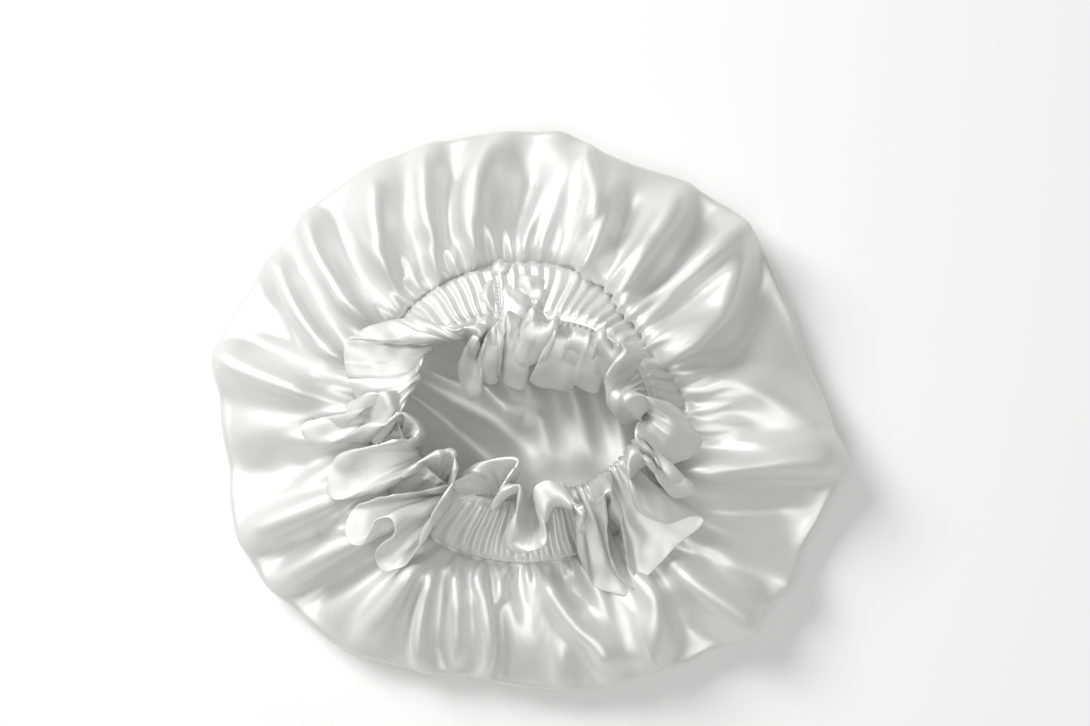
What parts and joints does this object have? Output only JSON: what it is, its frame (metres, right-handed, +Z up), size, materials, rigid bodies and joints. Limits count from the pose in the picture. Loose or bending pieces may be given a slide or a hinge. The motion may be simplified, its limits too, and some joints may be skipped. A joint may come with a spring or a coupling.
{
  "type": "sleep bonnet",
  "caption": "Round satin sleep bonnet lying on its crown, opening up, with folded rim, shirred elastic casing and a curling doubled ruffle round the head opening.",
  "frame": {"origin": "middle of the footprint, on the surface that the bonnet lies on", "axes": "+Z up, out of the head opening; +X along the crown's longest extent, to the viewer's right; +Y away from the viewer"},
  "size_m": [0.3212, 0.2882, 0.0821],
  "materials": {
    "satin": "white satin, shiny on both sides",
    "elastic": "white woven elastic, hidden in the casing"
  },
  "bodies": {
    "root": {"crown": "satin", "casing": "satin", "elastic": "elastic", "ruffle": "satin"}
  },
  "joints": []
}
